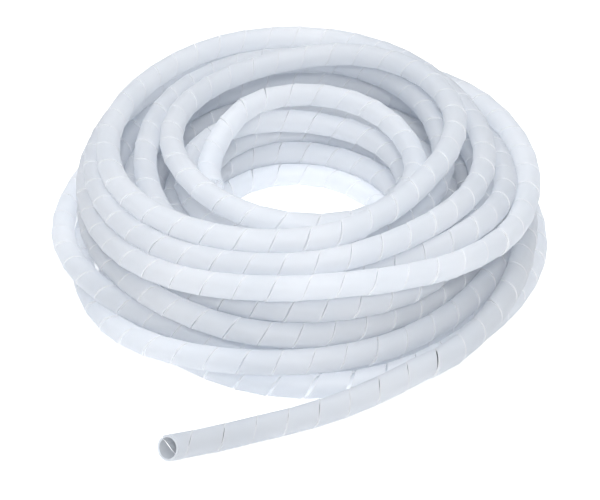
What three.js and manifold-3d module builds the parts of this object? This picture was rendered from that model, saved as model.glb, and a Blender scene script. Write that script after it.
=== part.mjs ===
// Loosely coiled spiral cable wrap: soft natural polyethylene tube with one slit that winds
// round it from end to end, so that it can be wrapped over a bundle of wires.
// Units are millimetres and +Z is up. The coil lies on the floor with its eye upright, and
// its free end lies in front of it, on the side of -Y.
import * as THREE from 'three';
import { mergeVertices } from 'three/addons/utils/BufferGeometryUtils.js';
import Module from 'manifold-3d';

const wasm = await Module();
wasm.setup();

// The tube, as it is sold: outside diameter, wall, and how far the slit runs in one turn.
const TUBE_DIAMETER = 10;
const WALL = 1;
const SLIT_PITCH = 13;
const SLIT_GAP = 1;
const TUBE_RADIUS = TUBE_DIAMETER / 2;

// The coil of about ten metres, as it lies: its foot is the widest part, and its top turns
// stand further in, on both sides.
const COIL_RADIUS = 105.5;
const EYE_RADIUS = 34;
const COIL_HEIGHT = 55;
const SHOULDER_HEIGHT = 38;
const OUTER_LEAN = 6;
const OUTER_TOP_SETBACK = 20;
const INNER_TOP_SETBACK = 14;
const INNER_FOOT_SETBACK = 2;
// How much the bottom turns are pressed flat where they rest on the floor.
const PRESSED_FLAT = 0.2;

// The free end: the middle of the tube, as degrees round the eye, how far it is outside the
// coil's radius, and height. It leaves the coil's side low in the notch between the two
// lowest turns, and runs round the front and down to the floor.
const TAIL_POINTS = [
  [-60, 3.6, 12.6],
  [-66, 4.2, 11.5],
  [-73, 5.8, 9.2],
  [-82, 9.7, 6.6],
  [-91, 15.8, 5.3],
  [-99, 23.4, 5.1],
  [-105.5, 32.5, 5.1],
  [-110.5, 40.5, 5.1],
];
// The free end is cut aslant, less steeply than the slit, so that its strip stays whole.
const END_CUT_SLOPE = 0.8 * SLIT_PITCH / (Math.PI * TUBE_DIAMETER);

// How finely the round shapes are drawn.
const COIL_SEGMENTS = 36;
const OUTLINE_ARC_REACH = Math.PI / 4;
const OUTLINE_ARC_STEP = Math.PI / 6;
const STEPS_PER_WINDING = 16;

const naturalPolyethylene = new THREE.MeshStandardMaterial({
  color: '#dde4e9',
  roughness: 0.42,
  metalness: 0,
});

// The corners of the coil's section, as radius and height of the turns that lie there,
// from the foot beside the eye round the outside and back.
function sectionCorners() {
  const foot = TUBE_RADIUS - PRESSED_FLAT;
  const top = COIL_HEIGHT - TUBE_RADIUS;
  const shoulder = SHOULDER_HEIGHT - TUBE_RADIUS;
  const inner = EYE_RADIUS + TUBE_RADIUS;
  const outer = COIL_RADIUS - TUBE_RADIUS;
  return [
    new THREE.Vector2(inner + INNER_FOOT_SETBACK, foot),
    new THREE.Vector2(outer, foot),
    new THREE.Vector2(outer - OUTER_LEAN, shoulder),
    new THREE.Vector2(outer - OUTER_TOP_SETBACK, top),
    new THREE.Vector2(inner + INNER_TOP_SETBACK, top),
    new THREE.Vector2(inner, shoulder),
  ];
}

// The angle that an edge of the section faces, with the section on its left.
function facing(from, to) {
  return Math.atan2(from.x - to.x, to.y - from.y);
}

// The round back of one turn in the section's outline, from one facing to the next.
function turnArc(centre, facingBefore, facingAfter) {
  let bend = facingAfter - facingBefore;
  if (bend < 0) {
    bend += 2 * Math.PI;
  }
  const sweep = bend + 2 * OUTLINE_ARC_REACH;
  const steps = Math.round(sweep / OUTLINE_ARC_STEP);
  const points = [];
  for (let i = 0; i <= steps; i += 1) {
    const angle = facingBefore - OUTLINE_ARC_REACH + sweep * i / steps;
    const x = centre.x + TUBE_RADIUS * Math.cos(angle);
    const y = centre.y + TUBE_RADIUS * Math.sin(angle);
    points.push(new THREE.Vector2(x, Math.max(y, 0)));
  }
  return points;
}

// The coil's section: the backs of the turns that lie along its outline, side by side.
function coilSection() {
  const corners = sectionCorners();
  const count = corners.length;
  const outline = [];
  for (let i = 0; i < count; i += 1) {
    const before = corners[(i + count - 1) % count];
    const here = corners[i];
    const after = corners[(i + 1) % count];
    const facingBefore = facing(before, here);
    const facingAfter = facing(here, after);
    outline.push(...turnArc(here, facingBefore, facingAfter));
    const gaps = Math.max(1, Math.round(here.distanceTo(after) / TUBE_DIAMETER));
    for (let k = 1; k < gaps; k += 1) {
      const centre = here.clone().lerp(after, k / gaps);
      outline.push(...turnArc(centre, facingAfter, facingAfter));
    }
  }
  outline.push(outline[0].clone());
  return outline;
}

// The coil, one turned ring round its open eye.
function coil() {
  const ring = new THREE.LatheGeometry(coilSection(), COIL_SEGMENTS);
  ring.rotateX(Math.PI / 2);
  return ring;
}

// A point beside the coil, from its angle round the eye, its distance outside the coil's
// radius and its height.
function besideCoil([degrees, outside, height]) {
  const angle = THREE.MathUtils.degToRad(degrees);
  const radius = COIL_RADIUS + outside;
  return new THREE.Vector3(radius * Math.cos(angle), radius * Math.sin(angle), height);
}

const tailRoute = new THREE.CatmullRomCurve3(TAIL_POINTS.map(besideCoil), false, 'centripetal');
tailRoute.arcLengthDivisions = 400;

// A place along the tail with the directions ahead, sideways and up. Before its start and
// past its end the route runs straight on.
function alongTail(distance) {
  const length = tailRoute.getLength();
  const share = THREE.MathUtils.clamp(distance / length, 0, 1);
  const middle = tailRoute.getPointAt(share);
  const ahead = tailRoute.getTangentAt(share);
  middle.addScaledVector(ahead, distance - share * length);
  const side = new THREE.Vector3().crossVectors(ahead, new THREE.Vector3(0, 0, 1)).normalize();
  const up = new THREE.Vector3().crossVectors(side, ahead);
  return { middle, ahead, side, up };
}

// The strip that the tube is, wound left-handed round the tail's route, one pitch longer
// than the tail so that both ends can be cut.
function woundStrip() {
  const windings = tailRoute.getLength() / SLIT_PITCH + 1;
  const steps = Math.round(windings * STEPS_PER_WINDING);
  const width = SLIT_PITCH - SLIT_GAP;
  const strip = new THREE.BoxGeometry(WALL, width, windings, 1, 1, steps);
  const corners = strip.attributes.position;
  for (let i = 0; i < corners.count; i += 1) {
    const winding = corners.getZ(i) + windings / 2;
    const radius = TUBE_RADIUS - WALL / 2 + corners.getX(i);
    const distance = (winding - 0.5) * SLIT_PITCH + corners.getY(i);
    const angle = winding * 2 * Math.PI;
    const { middle, side, up } = alongTail(distance);
    middle.addScaledVector(side, radius * Math.cos(angle));
    middle.addScaledVector(up, radius * Math.sin(angle));
    corners.setXYZ(i, middle.x, middle.y, middle.z);
  }
  return strip;
}

// A closed mesh as a solid that can be cut, and back.
function toSolid(geometry) {
  geometry.deleteAttribute('normal');
  geometry.deleteAttribute('uv');
  const merged = mergeVertices(geometry);
  return new wasm.Manifold(new wasm.Mesh({
    numProp: 3,
    vertProperties: new Float32Array(merged.attributes.position.array),
    triVerts: new Uint32Array(merged.index.array),
  }));
}

function toGeometry(solid) {
  const mesh = solid.getMesh();
  const geometry = new THREE.BufferGeometry();
  geometry.setAttribute('position', new THREE.BufferAttribute(mesh.vertProperties, 3));
  geometry.setIndex(new THREE.BufferAttribute(mesh.triVerts, 1));
  geometry.computeVertexNormals();
  return geometry;
}

// What one cut takes away: a block that starts at a place on the route and faces outwards.
function offcut(place, outwards) {
  const size = 4 * TUBE_DIAMETER;
  const block = new THREE.BoxGeometry(size, size, size);
  const turn = new THREE.Quaternion();
  turn.setFromUnitVectors(new THREE.Vector3(0, 0, 1), outwards);
  block.applyQuaternion(turn);
  const centre = place.clone().addScaledVector(outwards, size / 2);
  block.translate(centre.x, centre.y, centre.z);
  return toSolid(block);
}

// The free end of the wrap: the wound strip, cut square where it leaves the coil and
// aslant at its open end, which faces up and forwards.
function tail() {
  const start = alongTail(0);
  const end = alongTail(tailRoute.getLength());
  const squareCut = start.ahead.clone().negate();
  const slantCut = end.ahead.clone().addScaledVector(end.up, END_CUT_SLOPE).normalize();
  const strip = toSolid(woundStrip())
    .subtract(offcut(start.middle, squareCut))
    .subtract(offcut(end.middle, slantCut));
  return toGeometry(strip);
}

function subPart(name, geometry) {
  const mesh = new THREE.Mesh(geometry, naturalPolyethylene);
  mesh.name = name;
  return mesh;
}

const model = new THREE.Group();
model.add(subPart('coil', coil()));
model.add(subPart('tail', tail()));

// The origin is the middle of the whole piece's footprint, on the floor.
const box = new THREE.Box3().setFromObject(model);
model.position.set(-(box.min.x + box.max.x) / 2, -(box.min.y + box.max.y) / 2, 0);

export default model;
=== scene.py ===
# %% [markdown]
# # A loosely coiled length of spiral cable wrap
#
# Spiral wrap is a soft plastic tube that was cut round and round by one slit, so that it can be
# wound over a bundle of wires. Here about ten metres of it lie in a coil on a white floor, with
# one free end in front. The whole object is one tube. So the lesson has four parts: find the
# line that the tube follows, cut and bend the tube along it, give it the look of milky
# polyethylene, and light it.

# %% Load the fixed frame
import math

import bmesh
import bpy
import numpy as np
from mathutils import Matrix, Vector


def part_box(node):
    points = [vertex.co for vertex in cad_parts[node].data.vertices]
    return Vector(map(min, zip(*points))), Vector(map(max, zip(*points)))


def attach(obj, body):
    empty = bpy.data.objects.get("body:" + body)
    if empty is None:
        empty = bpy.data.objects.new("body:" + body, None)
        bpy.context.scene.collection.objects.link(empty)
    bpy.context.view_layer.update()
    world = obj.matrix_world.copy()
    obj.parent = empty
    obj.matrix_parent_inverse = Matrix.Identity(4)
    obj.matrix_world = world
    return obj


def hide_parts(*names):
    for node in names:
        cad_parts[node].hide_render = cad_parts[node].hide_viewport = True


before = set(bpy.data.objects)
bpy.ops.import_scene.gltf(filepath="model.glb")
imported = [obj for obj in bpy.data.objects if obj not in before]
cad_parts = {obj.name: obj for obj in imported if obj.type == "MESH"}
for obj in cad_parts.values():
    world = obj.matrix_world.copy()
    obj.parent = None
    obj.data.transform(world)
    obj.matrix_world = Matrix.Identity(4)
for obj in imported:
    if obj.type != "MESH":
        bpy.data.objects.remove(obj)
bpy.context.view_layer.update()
coil_low, coil_high = (Vector(corner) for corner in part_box("coil"))
eye = (coil_low + coil_high) / 2
eye.z = 0
coil_radius = (coil_high.x - coil_low.x) / 2
print("coil radius", round(coil_radius, 4), "eye at", [round(c, 4) for c in eye])

# %% [markdown]
# ## The tube's own sizes
#
# All lengths are metres. The strip is the tube's wall between two passes of the slit. Where the
# tube bends, the slit stays closed on the inside of the bend and opens on the outside. A stiff
# strip would leave all the stretching to the slit. This plastic is soft and gives too, so only
# a share of the bend opens the slit.

# %% Sizes of the tube and its slit
MM = 0.001
TUBE_DIAMETER = 10 * MM
TUBE_RADIUS = TUBE_DIAMETER / 2
WALL = 1 * MM
STRIP_WIDTH = 12.5 * MM
CLOSED_SLIT = 0.12 * MM
SLIT_OPENS = 0.25
EDGE_BREAK = 0.12 * MM
STEPS_PER_WINDING = 20

# %% [markdown]
# ## The camera
#
# The photograph looks down on the coil from the front. The tube is a quarter wider at the front
# of the coil than at its back, which tells how near the lens stands, and the ellipse of the
# bottom turns tells the angle. The camera comes first.

# %% Camera at the photograph's angle
PHOTO_WIDTH = 600
FOCAL_PIXELS = 1600
SENSOR = 36.0
ELEVATION = math.radians(38)
DISTANCE = 0.7
AIM_BESIDE_EYE = (-1.8 * MM, -10 * MM, 0)

aim = eye + Vector(AIM_BESIDE_EYE)
camera_data = bpy.data.cameras.new("photo_camera")
camera_data.sensor_width = SENSOR
camera_data.lens = SENSOR * FOCAL_PIXELS / PHOTO_WIDTH
camera = bpy.data.objects.new("photo_camera", camera_data)
backwards = Vector((0, -math.cos(ELEVATION), math.sin(ELEVATION)))
camera.location = aim + backwards * DISTANCE
camera.rotation_euler = (math.pi / 2 - ELEVATION, 0, 0)
bpy.context.scene.collection.objects.link(camera)
bpy.context.scene.camera = camera
print("lens", round(camera_data.lens, 1), "mm")

# %% [markdown]
# ## The line that the tube follows
#
# Its free end is a short list of points, each one the angle round the eye, how far it lies
# outside the coil's radius, and its height. The rest is coiled, and it was wound by hand,
# so no turn is a true circle. A formula for the whole coil would look too tidy. So each row
# below says where one turn passes, at some angle round the eye: how far out and how high the
# middle of the tube lies. Turns that show in the photograph have a row wherever they change
# course, and hidden turns have one or two. The turns follow each other as one tube, and a loop
# blends each row into the next.

# %% The free end and the places that the turns pass
# Each point: degrees round the eye, mm outside the coil's radius, and height in mm.
FREE_END = [
    (-110.5, 40.5, 5.1),
    (-105.5, 32.5, 5.1),
    (-99, 23.4, 5.1),
    (-91, 15.8, 5.3),
    (-82, 9.7, 6.6),
    (-73, 5.8, 9.2),
    (-66, 4.2, 11.5),
    (-60, 3.6, 12.6),
]
# Each place: turn, degrees round the eye, then radius and height in mm.
PASSES = [
    # up over the foot at the right, along the back, round the loose loop on the left
    (0, -60, 109.1, 12.6),
    (0, -45, 103.5, 13),
    (0, -30, 98, 14),
    (0, -15, 94, 15.5),
    (0, 5, 94.5, 15.5),
    (0, 25, 99, 18),
    (0, 45, 108.5, 25),
    (0, 75, 104, 22),
    (0, 110, 101, 16),
    (0, 145, 98, 12),
    (0, 163, 103, 9),
    (0, 175, 105.5, 8),
    (0, 187, 106, 9),
    (0, 197, 104, 12),
    (0, 206, 101.5, 14.5),
    (0, 225, 96, 12),
    (0, 240, 93.5, 7),
    # on the floor, and out under the free end
    (1, -60, 92, 5),
    (1, 0, 90, 5),
    (1, 180, 84, 5),
    (1, 235, 93, 5),
    (1, 250, 98, 5),
    (1, 270, 104.5, 5),
    (1, 285, 103, 5),
    # the outside of the foot, from the right round to the left, and up at the front
    (2, -45, 98.5, 5),
    (2, -20, 100, 5),
    (2, 0, 102, 5),
    (2, 40, 99, 5),
    (2, 160, 92, 5),
    (2, 180, 94, 5),
    (2, 203, 101.5, 5),
    (2, 213, 104.5, 5),
    (2, 225, 105, 5),
    (2, 238, 102, 7),
    (2, 250, 100, 11),
    (2, 265, 99, 13.7),
    (2, 285, 93, 13.7),
    (3, -26, 85, 12),
    (3, 90, 88, 14),
    (3, 180, 88, 14),
    # the rest of the foot, inwards to the eye
    (4, -60, 82, 5),
    (4, 0, 79, 5),
    (5, 0, 68, 5),
    (6, 0, 55, 5),
    (7, -60, 47, 5),
    (7, 0, 40, 5),
    (7, 42, 36.5, 5),
    (7, 71, 38, 5),
    (7, 109, 45, 5),
    (7, 140, 48, 5),
    (7, 180, 47, 6),
    # the second layer, outwards
    (8, -60, 47, 13.7),
    (8, 44, 42, 14),
    (8, 90, 45, 14),
    (9, 0, 60, 14),
    (10, 0, 76, 14),
    (10, 180, 90, 22.5),
    (10, 270, 94, 23.5),
    (11, -45, 82, 23),
    (11, 90, 86, 24),
    (11, 180, 81, 29),
    (11, 270, 90, 32.5),
    (12, -45, 80, 31),
    (12, 90, 78, 31),
    # hidden inside, inwards and back outwards
    (13, 0, 71, 24),
    (14, 0, 61, 23),
    (15, 0, 52, 23),
    (16, 0, 47, 25),
    (17, -60, 49, 33),
    (17, 20, 62, 38),
    (17, 60, 77, 42),
    (17, 90, 80, 45),
    (17, 118, 79, 44),
    (17, 153, 71.5, 43),
    (17, 178, 67, 42),
    (17, 200, 66, 38),
    (18, 0, 84, 32),
    (18, 90, 91, 30),
    (18, 180, 90, 31),
    (18, 270, 84, 40),
    # the strand that stands out at the right
    (19, -38, 89, 35),
    (19, -15, 95.5, 33),
    (19, 10, 94, 33),
    (19, 28, 89, 35),
    (19, 50, 87, 37),
    (19, 90, 91, 38),
    (19, 140, 91, 40),
    (19, 180, 88.5, 40),
    (19, 215, 89, 41),
    (19, 240, 82, 43),
    (19, 270, 75.5, 44.5),
    (20, -30, 73, 44),
    (20, 0, 76, 42),
    (20, 30, 82, 41),
    # the top turns
    (20, 65, 87, 45),
    (20, 79, 89, 48),
    (20, 109, 91, 50),
    (20, 127, 87, 50),
    (20, 145, 84, 50),
    (20, 197, 83, 50),
    (20, 220, 80, 50),
    (20, 241, 74, 49),
    (20, 270, 66, 48),
    (20, 285, 63, 50),
    (21, -60, 59, 51),
    (21, -40, 55.5, 51),
    (21, -20, 56, 51),
    (21, -9, 58, 50),
    (21, 8, 64, 50),
    (21, 21, 70, 50),
    (21, 38, 77, 49),
    (21, 54, 80, 49),
    (21, 68, 77, 48),
    (21, 90, 71, 48),
    (21, 117, 67, 47),
    (21, 136, 65, 47),
    (21, 155, 61, 47),
    (21, 170, 58, 47),
    (21, 185, 54, 48),
    (21, 206, 51.5, 49),
    (21, 231, 53, 49.5),
    (21, 268, 55, 49),
    (21, 286, 54, 46),
    (22, -54, 52, 43),
    (22, -30, 49, 41),
    (22, 22, 46, 41),
    (22, 59, 49, 42),
    (22, 92, 52, 42),
    (22, 118, 47, 42),
    (22, 137, 43, 40),
    (22, 167, 41, 36),
    (22, 197, 43, 34),
]
FIRST_ANGLE = -60
STATIONS = 48
BLENDS = 4


def turns_before(turn, degrees):
    """Number of turns from the start of the coil to a place on one turn."""
    return turn + ((degrees - FIRST_ANGLE) / 360) % 1


def first_lay():
    """Angle, radius and height along the coil, in degrees and mm, before the turns settle."""
    known = [turns_before(turn, degrees) for turn, degrees, _, _ in PASSES]
    last = math.floor(known[-1] * STATIONS)
    turned = np.arange(last + 1) / STATIONS
    radius = np.interp(turned, known, [place[2] for place in PASSES])
    height = np.interp(turned, known, [place[3] for place in PASSES])
    for values in (radius, height):
        for _ in range(BLENDS):
            values[1:-1] = values[:-2] / 4 + values[1:-1] / 2 + values[2:] / 4
    return np.radians(FIRST_ANGLE + 360 * turned), radius, height


# %% [markdown]
# ## Letting the turns settle
#
# The rows only say roughly where a turn lies, so neighbours cut into each other. A cloth or
# rope simulation could sort that out, but ten metres of stiff tube in one is slow. Instead the
# coil is cut into 48 sections, as one cuts a ring cake. In a section each turn is a disc of the
# tube's diameter. Again and again every disc sinks a little, discs that overlap push each
# other apart, the floor holds them up, and a smoothing along the tube keeps it from kinking.
# In the closing steps nothing sinks any more, so that the last overlaps go away.

# %% Settle the turns on the floor and on each other
SETTLE_STEPS = 400
CLOSING_SHARE = 0.25
PUSHES = 3
CLOSING_PUSHES = 6
PUSH = 0.35
SINK = 0.03
KEEP_PLACE = 0.05
STIFFNESS = 0.3
# The first stations stay where they are, so that the free end meets the coil smoothly.
HELD_STATIONS = 3
# Where a turn has no disc in a section, a disc stands in so far away that nothing touches it.
FAR_AWAY = 1e6
NOT_ZERO = 1e-9


def smooth_bends(values):
    """Take out part of each kink, without shortening the turn."""
    bend = np.zeros_like(values)
    bend[1:-1] = (values[:-2] + values[2:]) / 2 - values[1:-1]
    sharp = np.zeros_like(values)
    sharp[1:-1] = bend[1:-1] - (bend[:-2] + bend[2:]) / 2
    values += STIFFNESS * sharp


def push_apart(radius, height, index, there):
    """Move discs that overlap in a section apart, and lift them on to the floor."""
    diameter = TUBE_DIAMETER / MM
    layers = len(index)
    absent = FAR_AWAY * np.arange(1, layers + 1)[:, None]
    itself = np.eye(layers, dtype=bool)[:, :, None]
    discs_r = np.where(there, radius[index], absent)
    discs_z = np.where(there, height[index], 0)
    apart_r = discs_r[:, None] - discs_r[None, :]
    apart_z = discs_z[:, None] - discs_z[None, :]
    distance = np.sqrt(apart_r**2 + apart_z**2) + NOT_ZERO
    overlapping = (distance < diameter) & ~itself
    push = np.where(overlapping, (diameter - distance) / distance, 0)
    np.add.at(radius, index[there], PUSH * (push * apart_r).sum(1)[there])
    np.add.at(height, index[there], PUSH * (push * apart_z).sum(1)[there])
    np.maximum(height, diameter / 2, out=height)


def settle(radius, height):
    """Let the turns sink and push each other apart until they lie on each other."""
    aimed_radius, aimed_height = radius.copy(), height.copy()
    layers = (len(radius) - 1) // STATIONS + 1
    index = np.arange(layers)[:, None] * STATIONS + np.arange(STATIONS)[None, :]
    there = index < len(radius)
    index = np.minimum(index, len(radius) - 1)
    for step in range(SETTLE_STEPS):
        closing = step > (1 - CLOSING_SHARE) * SETTLE_STEPS
        if not closing:
            height -= SINK
            radius += KEEP_PLACE * (aimed_radius - radius)
            height += KEEP_PLACE * (aimed_height - height)
        smooth_bends(radius)
        smooth_bends(height)
        for _ in range(CLOSING_PUSHES if closing else PUSHES):
            push_apart(radius, height, index, there)
        radius[:HELD_STATIONS] = aimed_radius[:HELD_STATIONS]
        height[:HELD_STATIONS] = aimed_height[:HELD_STATIONS]
    return radius, height


angle, radius, height = first_lay()
radius, height = settle(radius, height)
coiled = np.stack([radius * np.cos(angle), radius * np.sin(angle), height], axis=1) * MM


# %% [markdown]
# ## One smooth line
#
# The free end and the settled turns are one tube, so their points are strung together. A tube
# bends evenly between two points, as a smooth curve does, and a straight line from point to
# point would leave corners. The curve is drawn twice, first with wide spacing, which evens out
# small jumps where the free end meets the coil.

# %% Join the free end and the coil into one smooth line
LINE_SPACING = 2 * MM


def free_end_points():
    """The free end's points in metres, from its cut end to the coil."""
    points = []
    for degrees, outside, up in FREE_END:
        distance = coil_radius + outside * MM
        turn = math.radians(degrees)
        points.append((distance * math.cos(turn), distance * math.sin(turn), up * MM))
    return np.array(points)


def smooth_line(points, spacing):
    """Evenly spaced points on a smooth curve through the given ones."""
    gaps = np.linalg.norm(np.diff(points, axis=0), axis=1)
    knots = np.concatenate([[0], np.cumsum(gaps)])
    slopes = np.gradient(points, knots, axis=0)
    where = np.linspace(0, knots[-1], round(knots[-1] / spacing) + 1)
    k = np.clip(np.searchsorted(knots, where, side="right") - 1, 0, len(gaps) - 1)
    t = ((where - knots[k]) / gaps[k])[:, None]
    span = gaps[k][:, None]
    start = (1 + 2 * t) * (1 - t) ** 2 * points[k] + t * (1 - t) ** 2 * span * slopes[k]
    stop = t**2 * (3 - 2 * t) * points[k + 1] + t**2 * (t - 1) * span * slopes[k + 1]
    return start + stop


route = np.vstack([free_end_points()[:-1], coiled])
route = smooth_line(route, 2 * LINE_SPACING)
route = smooth_line(route, LINE_SPACING) + np.array(eye)
steps = np.linalg.norm(np.diff(route, axis=0), axis=1)
run = np.concatenate([[0], np.cumsum(steps)])
print("tube length", round(run[-1], 3), "m, lowest", round(route[:, 2].min() / MM, 2), "mm")

# %% [markdown]
# ## Cutting the slit
#
# The wrap is a strip that winds round and round, so it could be a curve with a bevel, but then
# the slit would be missing, and the slit is what makes this tube a spiral wrap. It is made as
# the strip that it is. The strip's section is one small face with its two outer corners broken.
# A spin that also moves along its axis sweeps that section through one winding of a left-handed
# helix, and an array repeats the winding end to end. Spinning all the windings in one call
# would give the same mesh, but takes far longer. A spin hands its faces back in an order that
# changes from run to run, so they are put in a fixed order.

# %% One winding of the strip, on a straight tube
STRAIGHT_PITCH = 13 * MM
MERGE_REACH = 0.02 * MM


def strip_section(bm):
    """The strip's section across its width, a closed loop of edges above the tube's axis."""
    bmesh.ops.create_grid(bm, x_segments=1, y_segments=1, size=0.5)
    bmesh.ops.scale(bm, verts=bm.verts, vec=(STRIP_WIDTH, WALL, 1))
    middle = TUBE_RADIUS - WALL / 2
    bmesh.ops.translate(bm, verts=bm.verts, vec=(0, middle, 0))
    outer = [v for v in bm.verts if v.co.y > middle]
    bmesh.ops.bevel(
        bm,
        geom=outer,
        offset=EDGE_BREAK,
        offset_type="OFFSET",
        segments=1,
        profile=0.5,
        affect="VERTICES",
        material=-1,
    )
    bmesh.ops.delete(bm, geom=list(bm.faces), context="FACES_ONLY")


def from_lowest(corners):
    """A face's corners in the same order, beginning with the lowest number."""
    first = corners.index(min(corners))
    return corners[first:] + corners[:first]


def one_winding():
    """The section swept once round the axis while it moves on by one pitch."""
    bm = bmesh.new()
    strip_section(bm)
    bmesh.ops.spin(
        bm,
        geom=list(bm.verts) + list(bm.edges),
        cent=(0, 0, 0),
        axis=(-1, 0, 0),
        dvec=(STRAIGHT_PITCH / STEPS_PER_WINDING, 0, 0),
        angle=2 * math.pi,
        steps=STEPS_PER_WINDING,
        use_duplicate=False,
    )
    bmesh.ops.recalc_face_normals(bm, faces=bm.faces)
    bm.verts.index_update()
    places = [v.co.copy() for v in bm.verts]
    faces = sorted(from_lowest([v.index for v in f.verts]) for f in bm.faces)
    bm.free()
    mesh = bpy.data.meshes.new("winding")
    mesh.from_pydata(places, [], faces)
    return mesh


def straight_strip(windings):
    """The winding repeated end to end, as one plain mesh."""
    source = bpy.data.objects.new("winding", one_winding())
    bpy.context.scene.collection.objects.link(source)
    array = source.modifiers.new("windings", "ARRAY")
    array.count = windings
    array.use_relative_offset = False
    array.use_constant_offset = True
    array.constant_offset_displace = (STRAIGHT_PITCH, 0, 0)
    array.use_merge_vertices = True
    array.merge_threshold = MERGE_REACH
    evaluated = source.evaluated_get(bpy.context.evaluated_depsgraph_get())
    mesh = bpy.data.meshes.new_from_object(evaluated)
    bpy.data.objects.remove(source)
    mesh.name = "spiral_wrap"
    return mesh


# %% [markdown]
# ## How the windings share out the line
#
# On a straight tube each winding needs the strip's width and the closed slit. On a bend the
# inside is the short side, and there the strip's edges touch. So the middle line has to give
# each winding more room, the more the sharper the bend, and the slit opens on the outside.
# Handling left some slits a little wider, and at the front of the foot, where a turn was pulled
# outwards, they gape.

# %% Where each winding begins
LOOSE_SLIT = 0.14 * MM
# The higher this power, the fewer slits are nearly as loose as the loosest one.
LOOSE_IS_RARE = 3
# Each gaping stretch: turn, degrees round the eye, half its width in degrees, mm of gap.
GAPING = [
    (1, 268, 14, 1.3),
    (2, 212, 20, 0.5),
    (2, -10, 30, 0.4),
]
rng = np.random.default_rng(7)


def tube_curvature():
    """Bend per metre along the route, evened out over two windings."""
    ahead = np.gradient(route, run, axis=0)
    ahead /= np.linalg.norm(ahead, axis=1)[:, None]
    bend = np.linalg.norm(np.gradient(ahead, run, axis=0), axis=1)
    window = round(2 * STRIP_WIDTH / LINE_SPACING)
    return np.convolve(bend, np.ones(window) / window, mode="same")


def turned_along():
    """Number of turns of the coil before each point of the route, negative on the free end."""
    coil_steps = np.linalg.norm(np.diff(coiled, axis=0), axis=1)
    coil_run = np.concatenate([[0], np.cumsum(coil_steps)])
    free_length = run[-1] - coil_run[-1]
    return np.interp(run - free_length, coil_run, np.arange(len(coil_run)) / STATIONS, left=-1)


def extra_slit(turned):
    """How much wider the slit gapes at each point of the route, in metres."""
    extra = np.zeros_like(turned)
    for turn, degrees, half_width, gap in GAPING:
        off = (turned - turns_before(turn, degrees)) * 360 / half_width
        extra += gap * MM * np.exp(-(off**2))
    return extra


def winding_starts():
    """Distance along the tube at which each winding begins, from before its cut end."""
    bend = tube_curvature()
    gaping = extra_slit(turned_along())
    starts = [-STRAIGHT_PITCH]
    while starts[-1] < run[-1]:
        here = max(0, starts[-1])
        loose = LOOSE_SLIT * rng.random() ** LOOSE_IS_RARE
        slit = CLOSED_SLIT + loose + np.interp(here, run, gaping)
        room = 1 - SLIT_OPENS * TUBE_RADIUS * np.interp(here, run, bend)
        starts.append(starts[-1] + STRIP_WIDTH / room + slit)
    return np.array(starts)


starts = winding_starts()
windings = len(starts) - 1
print(windings, "windings, mean pitch", round(run[-1] / windings / MM, 2), "mm")

# %% [markdown]
# ## Bending the strip along the line
#
# A vertex of the straight strip knows its winding, its angle round the axis and how far it is
# across the strip. Those three place it on the bent tube. The whole width of the strip follows
# the direction that the line has at its middle, so the strip itself stays flat along the tube
# and each winding makes a short straight facet. That gives the coil its knuckled outline.
# Where the tube bends, the strip is drawn out on the outside of the bend and pressed together
# on the inside, by the share that the slit doesn't take up. A small wander from winding to
# winding keeps them from looking made by one machine.

# %% Bend the strip, and keep its flat coordinates as maps
UNEVEN = 0.12 * MM


def read_off(values, distance):
    """Three numbers that are known along the route, at some distances along it."""
    return np.stack([np.interp(distance, run, values[:, a]) for a in range(3)], axis=1)


def strip_places(straight):
    """Which winding each vertex of the straight strip is on, how far across, and how far out."""
    around = np.arctan2(-straight[:, 2], straight[:, 1]) / (2 * math.pi) % 1
    winding = np.round(straight[:, 0] / STRAIGHT_PITCH - around) + around
    across = straight[:, 0] - winding * STRAIGHT_PITCH
    out = np.hypot(straight[:, 1], straight[:, 2])
    return winding, across, out


def along_tube(distance):
    """The tube's middle with the directions ahead, sideways and up, and how it bends."""
    ahead_all = np.gradient(route, run, axis=0)
    bend_all = np.gradient(ahead_all, run, axis=0)
    inside = np.clip(distance, 0, run[-1])
    middle = read_off(route, inside)
    ahead = read_off(ahead_all, inside)
    ahead /= np.linalg.norm(ahead, axis=1)[:, None]
    middle += ahead * (distance - inside)[:, None]
    side = np.cross(ahead, (0, 0, 1))
    side /= np.linalg.norm(side, axis=1)[:, None]
    up = np.cross(side, ahead)
    return middle, ahead, side, up, read_off(bend_all, inside)


def bent_places(straight):
    """Where the straight strip's vertices come to lie, with their map coordinates."""
    winding, across, out = strip_places(straight)
    distance = np.interp(winding, np.arange(len(starts)), starts)
    middle, ahead, side, up, bend = along_tube(distance)
    turn = (winding * 2 * math.pi)[:, None]
    outwards = side * np.cos(turn) + up * np.sin(turn)
    stretch = 1 - (1 - SLIT_OPENS) * out * (outwards * bend).sum(axis=1)
    for direction in (side, up):
        wander = rng.normal(0, UNEVEN, len(starts) + 1)
        middle += direction * np.interp(winding, np.arange(len(wander)), wander)[:, None]
    places = middle + ahead * (across * stretch)[:, None] + out[:, None] * outwards
    places[:, 2] = np.maximum(places[:, 2], 0)
    tube_map = np.stack([distance + across, winding * math.pi * TUBE_DIAMETER], axis=1)
    strip_map = np.stack([across / STRIP_WIDTH + 0.5, (out - TUBE_RADIUS) / WALL + 1], axis=1)
    return places, tube_map, strip_map


def write_map(mesh, name, values):
    """A named map that holds two numbers for each vertex."""
    corners = np.empty(len(mesh.loops), int)
    mesh.loops.foreach_get("vertex_index", corners)
    layer = mesh.uv_layers.new(name=name)
    layer.data.foreach_set("uv", values[corners].astype(np.float32).ravel())


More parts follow.
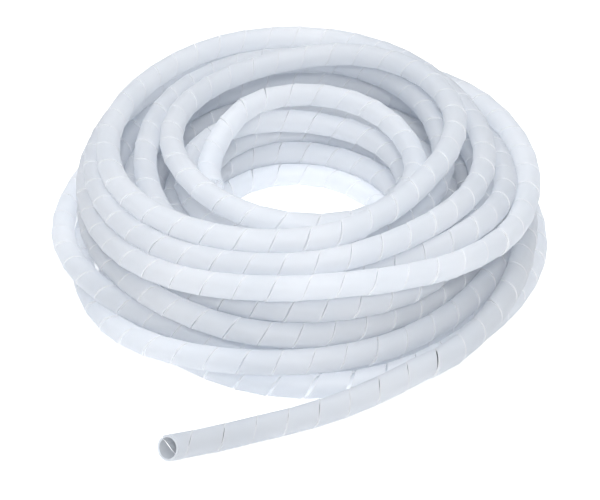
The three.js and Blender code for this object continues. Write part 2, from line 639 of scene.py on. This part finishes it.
def bent_strip():
    """The strip along the whole route, as a mesh with two maps."""
    mesh = straight_strip(windings)
    straight = np.empty(len(mesh.vertices) * 3)
    mesh.vertices.foreach_get("co", straight)
    places, tube_map, strip_map = bent_places(straight.reshape(-1, 3))
    mesh.vertices.foreach_set("co", places.ravel())
    write_map(mesh, "tube", tube_map)
    write_map(mesh, "strip", strip_map)
    return mesh


# %% [markdown]
# ## The cut end
#
# The wrap was snipped off at a slant, so one looks into the tube. A plane cuts the strip there,
# and another one cuts its inner end beside the eye. Both cuts are closed with a face. Only the
# windings near an end are handed to its cut, because a plane has no end and would cut the
# other turns too.

# %% Snip the free end, close both ends and smooth the faces
SLANT = 0.75
SNIP_REACH = 25 * MM
SHARP_ANGLE = math.radians(35)
ON_THE_PLANE = 0.01 * MM
# How many points back along the line its direction at an end is taken from.
POINTS_BACK = 3


def snip(bm, place, outwards, along):
    """Cut the strip with a plane, near a distance along it, and drop what lies beyond."""
    tube_map = bm.loops.layers.uv["tube"]
    near = [f for f in bm.faces if abs(f.loops[0][tube_map].uv.x - along) < SNIP_REACH]
    parts = dict.fromkeys(near)
    for face in near:
        parts.update(dict.fromkeys(face.edges))
        parts.update(dict.fromkeys(face.verts))
    bmesh.ops.bisect_plane(
        bm,
        geom=list(parts),
        plane_co=place,
        plane_no=outwards,
        clear_outer=True,
        dist=ON_THE_PLANE,
    )


def drop_offcuts(bm):
    """Keep the one long strip, and drop any sliver that the cut set free."""
    bm.verts.ensure_lookup_table()
    middle = bm.verts[len(bm.verts) // 2]
    kept = {middle}
    edge_of_known = [middle]
    while edge_of_known:
        vertex = edge_of_known.pop()
        for edge in vertex.link_edges:
            other = edge.other_vert(vertex)
            if other not in kept:
                kept.add(other)
                edge_of_known.append(other)
    loose = [v for v in bm.verts if v not in kept]
    bmesh.ops.delete(bm, geom=loose, context="VERTS")


def finish_strip(mesh):
    """Both ends cut and closed, faces outwards, smooth but for the strip's edges."""
    bm = bmesh.new()
    bm.from_mesh(mesh)
    end = Vector(route[0])
    outwards = (end - Vector(route[POINTS_BACK])).normalized()
    to_viewer = (camera.location - end).normalized()
    snip(bm, end, (outwards + to_viewer * SLANT).normalized(), 0)
    last = Vector(route[-1])
    snip(bm, last, (last - Vector(route[-1 - POINTS_BACK])).normalized(), run[-1])
    drop_offcuts(bm)
    rims = [e for e in bm.edges if e.is_boundary]
    bmesh.ops.holes_fill(bm, edges=rims, sides=0)
    bmesh.ops.recalc_face_normals(bm, faces=bm.faces)
    bm.to_mesh(mesh)
    open_edges = sum(1 for e in bm.edges if not e.is_manifold)
    volume = bm.calc_volume(signed=True)
    bm.free()
    mesh.shade_smooth()
    mesh.set_sharp_from_angle(angle=SHARP_ANGLE)
    print("open edges", open_edges, "plastic", round(volume * 1e6, 1), "cubic cm")


wrap_mesh = bent_strip()
finish_strip(wrap_mesh)
wrap = bpy.data.objects.new("spiral_wrap", wrap_mesh)
bpy.context.scene.collection.objects.link(wrap)
wrap_mesh.calc_loop_triangles()
print("spiral_wrap:", len(wrap_mesh.loop_triangles), "triangles")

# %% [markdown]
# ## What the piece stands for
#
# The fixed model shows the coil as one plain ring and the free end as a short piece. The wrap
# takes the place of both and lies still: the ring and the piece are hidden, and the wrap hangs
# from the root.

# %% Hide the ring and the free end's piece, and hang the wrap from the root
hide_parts("coil", "tail")
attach(wrap, "root")

# %% [markdown]
# ## Milky polyethylene
#
# Natural polyethylene has no pigment. It scatters light inside, so it looks like thin milk:
# bluish white where it is lit, grey where several walls lie behind each other, and never glossy,
# because extrusion leaves it with fine lines along the tube. Where the slit was cut the edges
# are rough and a little paler, and a painted highlight along them stands in for the light that
# they catch. The colours below are read as they look on the screen, so one function turns them
# into the linear values that the shader wants.
#
# More than half of the light goes on through the wall and is spread behind it. A wall has an
# outer and an inner face, and the light should be scattered only once on its way, so the inner
# face is left nearly clear. In the photograph the free end is greyer than the turns, and grey
# in its mouth. The cause can't be seen there, so this is matched and not explained: the inner
# face of the free end is a plain grey that stands in for shade, painted shade, and changes to
# the clear one where the free end goes in among the turns.

# %% Helpers for materials


def linear(hex_colour, alpha=1.0):
    """An sRGB colour such as '#E4EAEE' as linear red, green, blue and alpha."""
    parts = [int(hex_colour[i : i + 2], 16) / 255 for i in (1, 3, 5)]
    bright = [c / 12.92 if c <= 0.04045 else ((c + 0.055) / 1.055) ** 2.4 for c in parts]
    return (*bright, alpha)


def add_node(tree, kind, settings=None, **links):
    """A node with its settings, and each input linked to a socket or set to a value."""
    node = tree.nodes.new(kind)
    for name, value in (settings or {}).items():
        setattr(node, name, value)
    for name, value in links.items():
        key = int(name[1:]) if name[1:].isdigit() else name.replace("_", " ")
        if isinstance(value, bpy.types.NodeSocket):
            tree.links.new(value, node.inputs[key])
        else:
            node.inputs[key].default_value = value
    return node


def empty_material(name):
    """A new material with only its output node."""
    material = bpy.data.materials.new(name)
    material.use_nodes = True
    tree = material.node_tree
    tree.nodes.clear()
    return material, tree, tree.nodes.new("ShaderNodeOutputMaterial")


def between(tree, value, start, stop, at_start, at_stop):
    """A number that goes from one value to another while its input crosses a range."""
    node = add_node(
        tree, "ShaderNodeMapRange", _0=value, _1=start, _2=stop, _3=at_start, _4=at_stop
    )
    return node.outputs["Result"]


# %% Extruded natural polyethylene
CLOUDS = 35 * MM
CLOUDY = linear("#F3F6FA")
CLOUDY_UP_TO = 0.35
WHITER = linear("#F8FAFD")
WHITER_FROM = 0.65
# The pale cut edge, with a painted highlight where it catches the light, and how far from the
# strip's middle it begins, as a share of its width.
PALE_EDGE_AND_HIGHLIGHT = linear("#FCFCFD")
CUT_EDGE_FROM = 0.47
CUT_EDGE_SHARE = 0.8
DIE_LINES = 0.5 * MM
LINES_PER_METRE_ALONG = 1.5
LINE_DEPTH = 0.1 * MM
LINE_STRENGTH = 0.12
SMOOTHEST = 0.36
ROUGHEST = 0.5
POLYETHYLENE_IOR = 1.51
LIGHT_THROUGH_WALL = 0.65
# The inner skin is this share of the wall, and this share of it is clear.
INNER_SKIN = 0.1
CLEAR_INNER_SKIN = 0.95
# The painted shade on the free end's inner face: its length, and the share after which it fades
# out.
PAINTED_SHADE_GREY = linear("#BDC2C9")
PAINTED_SHADE_LENGTH = 210 * MM
PAINTED_SHADE_FULL_UP_TO = 0.6


def milky_colour(tree, across):
    """Slight clouds in the body, and paler edges along the slit that carry a painted highlight.
    """
    places = add_node(tree, "ShaderNodeTexCoord")
    clouds = add_node(
        tree,
        "ShaderNodeTexNoise",
        Vector=places.outputs["Object"],
        Scale=1 / CLOUDS,
        Detail=3.0,
    )
    body = add_node(tree, "ShaderNodeValToRGB", Fac=clouds.outputs["Fac"])
    cloudy, whiter = body.color_ramp.elements
    cloudy.position = CLOUDY_UP_TO
    cloudy.color = CLOUDY
    whiter.position = WHITER_FROM
    whiter.color = WHITER
    from_middle = add_node(tree, "ShaderNodeMath", {"operation": "SUBTRACT"}, _0=across, _1=0.5)
    off_middle = add_node(
        tree, "ShaderNodeMath", {"operation": "ABSOLUTE"}, _0=from_middle.outputs["Value"]
    )
    # Paler cut edges: partly paler cut plastic, partly a painted highlight where the edges catch
    # the light.
    pale_edge_and_highlight_mask = between(tree, off_middle.outputs["Value"], CUT_EDGE_FROM, 0.5, 0, CUT_EDGE_SHARE)
    colour = add_node(
        tree,
        "ShaderNodeMix",
        {"data_type": "RGBA"},
        _0=pale_edge_and_highlight_mask,
        _6=body.outputs["Color"],
        _7=PALE_EDGE_AND_HIGHLIGHT,
    )
    return colour.outputs["Result"]


def die_lines(tree, tube_map):
    """Faint lines along the tube, a number that wanders round one half."""
    stretched = add_node(
        tree,
        "ShaderNodeMapping",
        Vector=tube_map,
        Scale=(LINES_PER_METRE_ALONG, 1 / DIE_LINES, 1),
    )
    lines = add_node(
        tree, "ShaderNodeTexNoise", Vector=stretched.outputs["Vector"], Scale=1.0, Detail=2.0
    )
    return lines.outputs["Fac"]


def milk(tree, colour, lines):
    """A matt face that throws part of the light back and spreads the rest behind it."""
    bump = add_node(
        tree, "ShaderNodeBump", Strength=LINE_STRENGTH, Distance=LINE_DEPTH, Height=lines
    )
    plastic = add_node(
        tree,
        "ShaderNodeBsdfPrincipled",
        Base_Color=colour,
        Roughness=between(tree, lines, 0.3, 0.7, SMOOTHEST, ROUGHEST),
        IOR=POLYETHYLENE_IOR,
        Normal=bump.outputs["Normal"],
    )
    passed_on = add_node(
        tree, "ShaderNodeBsdfTranslucent", Color=colour, Normal=bump.outputs["Normal"]
    )
    both = add_node(
        tree,
        "ShaderNodeMixShader",
        _0=LIGHT_THROUGH_WALL,
        _1=plastic.outputs["BSDF"],
        _2=passed_on.outputs["BSDF"],
    )
    return both.outputs["Shader"]


def inner_skin(tree, along):
    """Clear on the turns, and a painted shade grey on the first stretch from the free end."""
    clear = add_node(tree, "ShaderNodeBsdfTransparent", Color=linear("#FFFFFF"))
    # A plain grey inner face at the free end: painted shade for its mouth and for the greyer
    # free end.
    painted_shade_skin = add_node(tree, "ShaderNodeBsdfDiffuse", Color=PAINTED_SHADE_GREY)
    skin = add_node(
        tree,
        "ShaderNodeMixShader",
        _0=between(tree, along, PAINTED_SHADE_FULL_UP_TO * PAINTED_SHADE_LENGTH, PAINTED_SHADE_LENGTH, 1, 0),
        _1=clear.outputs["BSDF"],
        _2=painted_shade_skin.outputs["BSDF"],
    )
    return skin.outputs["Shader"]


def extruded_polyethylene():
    """Milky plastic with clouding, faint lines along the tube, pale cut edges with a painted
    highlight, and painted shade inside the free end.
    """
    material, tree, output = empty_material("extruded_natural_polyethylene")
    tube = add_node(tree, "ShaderNodeUVMap", {"uv_map": "tube"})
    strip = add_node(tree, "ShaderNodeUVMap", {"uv_map": "strip"})
    on_tube = add_node(tree, "ShaderNodeSeparateXYZ", Vector=tube.outputs["UV"])
    on_strip = add_node(tree, "ShaderNodeSeparateXYZ", Vector=strip.outputs["UV"])
    colour = milky_colour(tree, on_strip.outputs["X"])
    lines = die_lines(tree, tube.outputs["UV"])
    wall = add_node(
        tree,
        "ShaderNodeMixShader",
        _0=between(tree, on_strip.outputs["Y"], 0, INNER_SKIN, 1 - CLEAR_INNER_SKIN, 1),
        _1=inner_skin(tree, on_tube.outputs["X"]),
        _2=milk(tree, colour, lines),
    )
    tree.links.new(wall.outputs["Shader"], output.inputs["Surface"])
    return material


wrap_mesh.materials.clear()
wrap_mesh.materials.append(extruded_polyethylene())
print("material:", wrap_mesh.materials[0].name)

# %% [markdown]
# ## Floor and light
#
# The photograph is a product shot on white, lit from all round, and the turns look as bright
# as the free end although they shade each other. A white board that glows a little, as the
# light tables for such shots do, an even surround and one broad lamp above give the soft and
# nearly shadowless look. A second lamp with a narrow cone lights the turns once more from the
# front and fades out before the free end.

# %% White floor
FLOOR_SIZE = 3.0
BOARD_GLOW = 0.45


def white_floor():
    """A large white board under the coil that glows a little."""
    bm = bmesh.new()
    bmesh.ops.create_grid(bm, x_segments=1, y_segments=1, size=FLOOR_SIZE / 2)
    mesh = bpy.data.meshes.new("floor")
    bm.to_mesh(mesh)
    bm.free()
    floor = bpy.data.objects.new("floor", mesh)
    bpy.context.scene.collection.objects.link(floor)
    material, tree, output = empty_material("matt_white_board")
    board = add_node(
        tree,
        "ShaderNodeBsdfPrincipled",
        Base_Color=linear("#FBFBFB"),
        Roughness=0.9,
        Emission_Color=linear("#FFFFFF"),
        Emission_Strength=BOARD_GLOW,
    )
    tree.links.new(board.outputs["BSDF"], output.inputs["Surface"])
    mesh.materials.append(material)


white_floor()

# %% Soft studio light
OVERHEAD_PLACE = (-0.1, 0.25, 1.0)
OVERHEAD_SIZE = 0.9
OVERHEAD_WATTS = 6
COIL_LAMP_PLACE = (0.03, -0.4, 0.53)
COIL_LAMP_REACH = 0.115
COIL_LAMP_FADE = 0.6
COIL_LAMP_RADIUS = 0.12
COIL_LAMP_WATTS = 17
SURROUND = 0.5


def hang(data, place):
    """Put a lamp at a place and point it at the eye of the coil."""
    lamp = bpy.data.objects.new(data.name, data)
    lamp.location = place
    towards = eye - Vector(place)
    lamp.rotation_euler = towards.to_track_quat("-Z", "Y").to_euler()
    bpy.context.scene.collection.objects.link(lamp)
    return towards.length


def overhead_lamp():
    """A broad square lamp, above the coil and a little behind it."""
    data = bpy.data.lights.new("overhead", "AREA")
    data.size = OVERHEAD_SIZE
    data.energy = OVERHEAD_WATTS
    hang(data, OVERHEAD_PLACE)


def coil_lamp():
    """A lamp from the front, with a cone that covers the coil and fades before the free end."""
    data = bpy.data.lights.new("coil_lamp", "SPOT")
    data.energy = COIL_LAMP_WATTS
    data.shadow_soft_size = COIL_LAMP_RADIUS
    data.spot_blend = COIL_LAMP_FADE
    data.spot_size = 2 * math.atan(COIL_LAMP_REACH / hang(data, COIL_LAMP_PLACE))


def bright_surround():
    """An even white world."""
    world = bpy.data.worlds.new("surround")
    world.use_nodes = True
    background = world.node_tree.nodes["Background"]
    background.inputs["Color"].default_value = linear("#FFFFFF")
    background.inputs["Strength"].default_value = SURROUND
    bpy.context.scene.world = world


overhead_lamp()
coil_lamp()
bright_surround()
bpy.context.scene.view_settings.view_transform = "Standard"
print(len(bpy.data.lights), "lamps")
